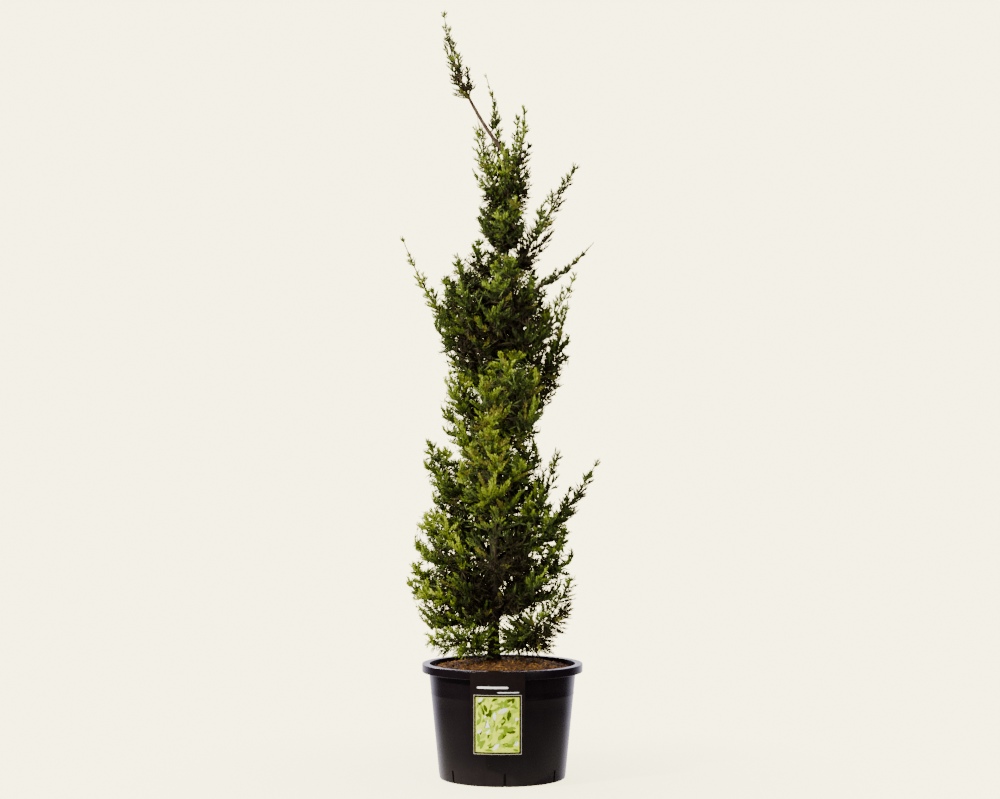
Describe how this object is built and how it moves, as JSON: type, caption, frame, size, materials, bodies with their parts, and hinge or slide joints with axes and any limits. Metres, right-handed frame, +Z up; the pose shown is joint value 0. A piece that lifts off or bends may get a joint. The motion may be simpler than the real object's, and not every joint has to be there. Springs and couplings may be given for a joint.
{
  "type": "potted chinese juniper",
  "caption": "Young upright Chinese juniper with flame-shaped tufts of scale leaves and thin whips, growing in a round nursery pot with a plain hanging label.",
  "frame": {"origin": "middle of the pot's flat underside", "axes": "+Z up along the trunk, the plant's front and the label face -Y, +X to the right seen from the front"},
  "size_m": [0.4066, 0.3351, 1.59],
  "materials": {
    "bark": "rough, stringy bark",
    "foliage": "matte scale leaves",
    "pot": "satin moulded plastic, scuffed",
    "soil": "loose bark mulch",
    "label": "printed plastic card"
  },
  "bodies": {
    "root": {"bough_leader": "bark", "bough_left_hem": "bark", "bough_left_spike": "bark", "bough_right_flare": "bark", "bough_right_horn": "bark", "bough_right_plume": "bark", "bough_right_reach": "bark", "bough_right_skirt": "bark", "bough_right_whip": "bark", "foliage_back_left": "foliage", "foliage_back_lower": "foliage", "foliage_back_middle": "foliage", "foliage_back_right": "foliage", "foliage_back_skirt": "foliage", "foliage_back_upper": "foliage", "foliage_front_lower": "foliage", "foliage_front_middle": "foliage", "foliage_front_skirt": "foliage", "foliage_front_upper": "foliage", "foliage_leader": "foliage", "foliage_leader_spur": "foliage", "foliage_left_brow": "foliage", "foliage_left_crook": "foliage", "foliage_left_fan": "foliage", "foliage_left_flank": "foliage", "foliage_left_hem": "foliage", "foliage_left_horn": "foliage", "foliage_left_low": "foliage", "foliage_left_shoulder": "foliage", "foliage_left_skirt": "foliage", "foliage_left_spike": "foliage", "foliage_right_dusk": "foliage", "foliage_right_fan": "foliage", "foliage_right_flare": "foliage", "foliage_right_heart": "foliage", "foliage_right_horn": "foliage", "foliage_right_low": "foliage", "foliage_right_plume": "foliage", "foliage_right_reach": "foliage", "foliage_right_shoulder": "foliage", "foliage_right_skirt": "foliage", "foliage_right_whip": "foliage", "foliage_top_back": "foliage", "foliage_top_fan": "foliage", "foliage_top_front": "foliage", "foliage_top_left": "foliage", "foliage_top_right": "foliage", "foliage_upper_back": "foliage", "foliage_upper_front": "foliage", "foliage_upper_left": "foliage", "label": "label", "pot": "pot", "soil": "soil", "trunk": "bark"}
  },
  "joints": []
}
